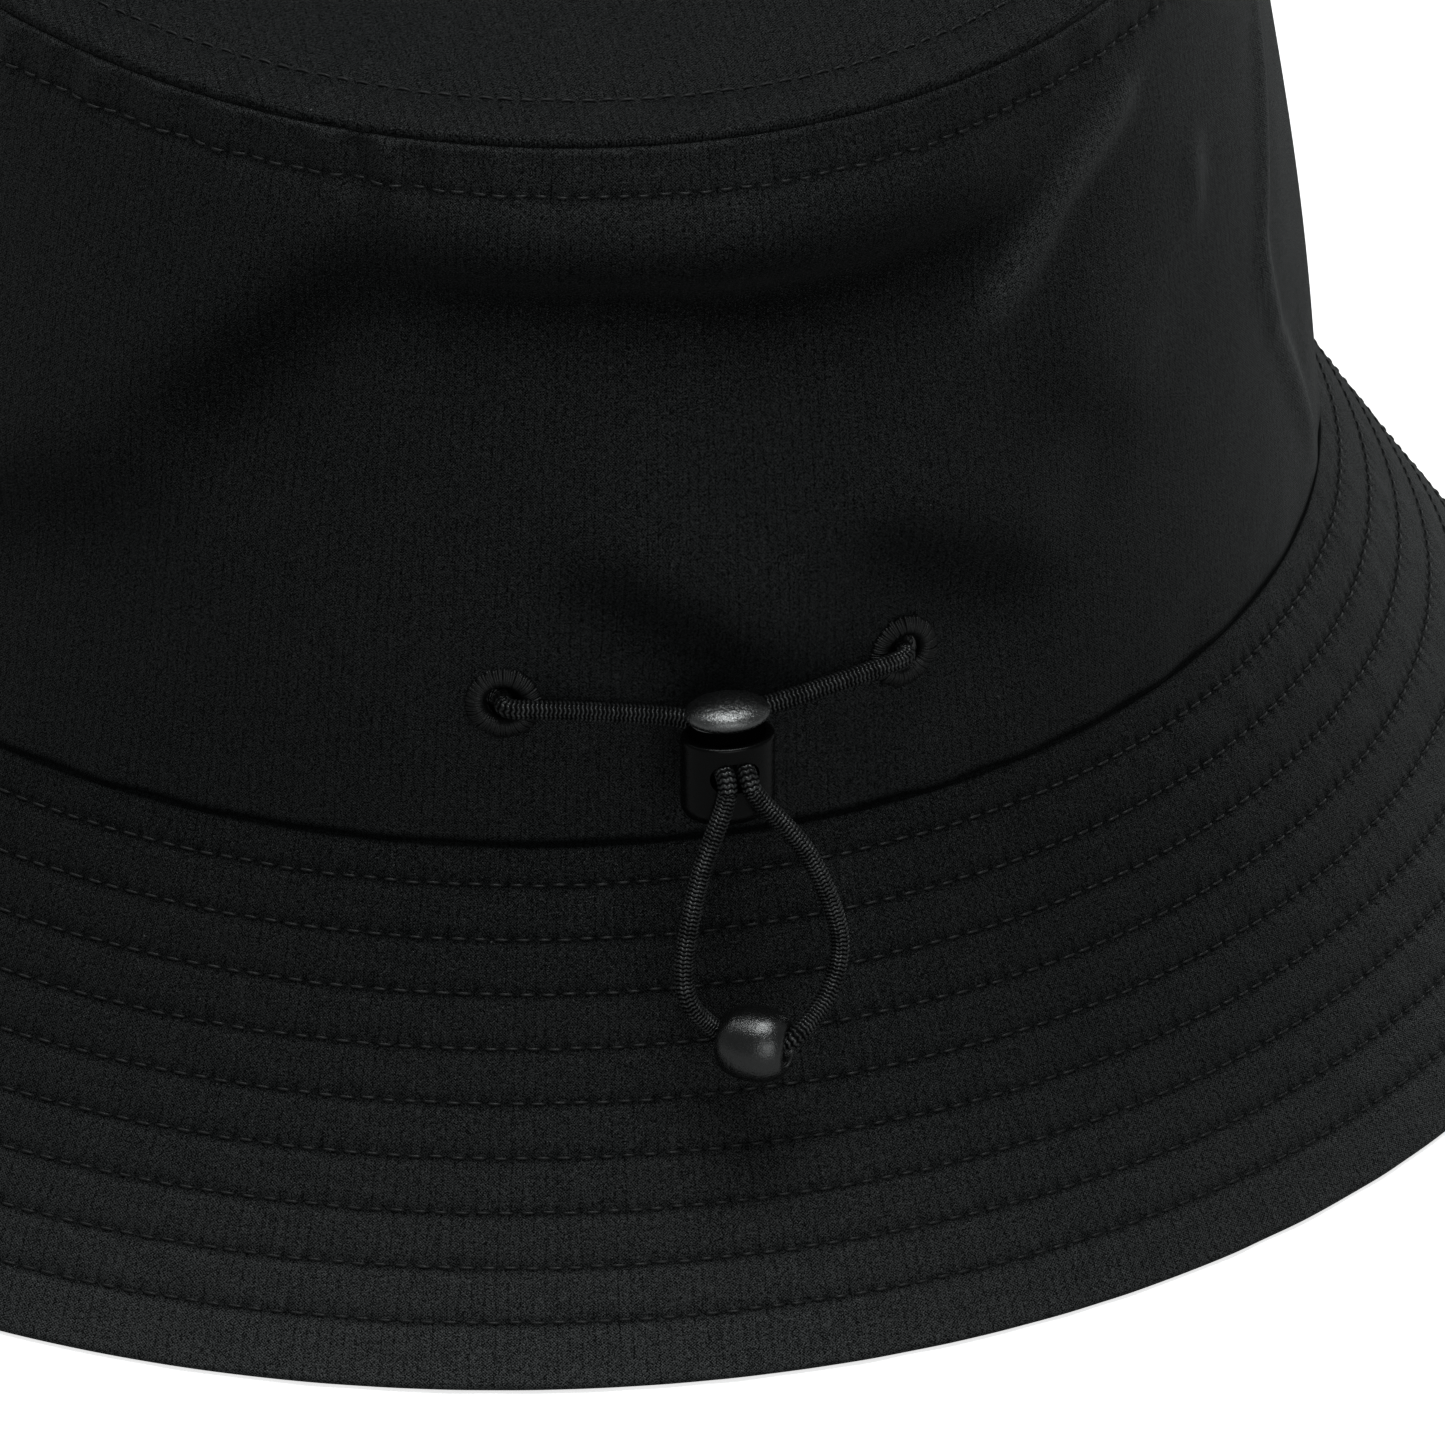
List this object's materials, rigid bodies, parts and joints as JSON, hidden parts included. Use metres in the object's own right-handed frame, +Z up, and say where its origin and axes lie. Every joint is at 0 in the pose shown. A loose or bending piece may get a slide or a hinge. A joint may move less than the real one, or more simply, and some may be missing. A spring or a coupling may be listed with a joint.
{
  "type": "bucket hat",
  "caption": "Soft bucket hat with a domed oval top, a sloping brim quilted by concentric stitch rows, and an elastic drawcord with a press lock and bead at the back.",
  "frame": {"origin": "centre of the brim's outer edge, on the plane the hat rests on", "axes": "+Z up through the crown, +Y towards the front of the hat, +X to the wearer's right; the drawcord is at the back, towards -Y"},
  "size_m": [0.2476, 0.2496, 0.1448],
  "materials": {
    "shell_fabric": "matt ripstop with a faint sheen",
    "interlining": "dull non-woven",
    "lining_fabric": "fine smooth weave",
    "sweatband_fabric": "soft brushed knit",
    "thread": "slightly glossy polyester thread",
    "elastic_cord": "braided with a soft sheen",
    "lock_plastic": "moulded, fine satin",
    "lock_button_plastic": "satin gloss",
    "bead_plastic": "satin gloss",
    "spring_steel": "bright wire"
  },
  "bodies": {
    "hat": {"side_band_back": "shell_fabric", "side_band_front": "shell_fabric", "tip_panel": "shell_fabric", "brim_upper": "shell_fabric", "brim_lower": "shell_fabric", "brim_interlining": "interlining", "eyelet_patch_left": "interlining", "eyelet_patch_right": "interlining", "tip_lining": "lining_fabric", "side_lining": "lining_fabric", "sweatband": "sweatband_fabric", "tip_topstitch": "thread", "band_topstitch": "thread", "brim_topstitch_rows": "thread", "brim_under_stitch_rows": "thread", "sweatband_stitch": "thread", "cord_anchor_left": "thread", "cord_anchor_right": "thread", "eyelet_left": "thread", "eyelet_right": "thread", "drawcord_run_left": "elastic_cord", "drawcord_run_right": "elastic_cord"},
    "lock": {"cord_lock_body": "lock_plastic", "cord_lock_spring": "spring_steel", "drawcord_in_lock": "elastic_cord"},
    "button": {"cord_lock_button": "lock_button_plastic"},
    "loop_root": {"drawcord_loop_root": "elastic_cord"},
    "loop": {"drawcord_loop": "elastic_cord"},
    "bead": {"cord_bead": "bead_plastic"}
  },
  "joints": [
    {"name": "lock_pull", "type": "slide", "parent": "hat", "child": "lock", "axis": [0, -0.4651, -0.8852], "range_m": [0, 0.012], "stiffness_N_per_m": 150, "deforming": ["drawcord_run_left", "drawcord_run_right"]},
    {"name": "button_press", "type": "slide", "parent": "lock", "child": "button", "axis": [0, 0, -1], "range_m": [0, 0.001], "stiffness_N_per_m": 1500, "springref_m": -0.001, "deforming": ["cord_lock_spring"]},
    {"name": "loop_lift", "type": "hinge", "parent": "lock", "child": "loop_root", "pos_m": [0, -0.109, 0.0632], "axis": [-1, 0, 0], "range_deg": [0, 110]},
    {"name": "loop_swing", "type": "hinge", "parent": "loop_root", "child": "loop", "pos_m": [0, -0.109, 0.0602], "axis": [0, 1, 0], "range_deg": [-35, 35], "stiffness_Nm_per_rad": 0.0005},
    {"name": "bead_spin", "type": "hinge", "parent": "loop", "child": "bead", "pos_m": [0.0004, -0.1146, 0.0341], "axis": [0.848, -0.5299, 0], "continuous": true}
  ]
}
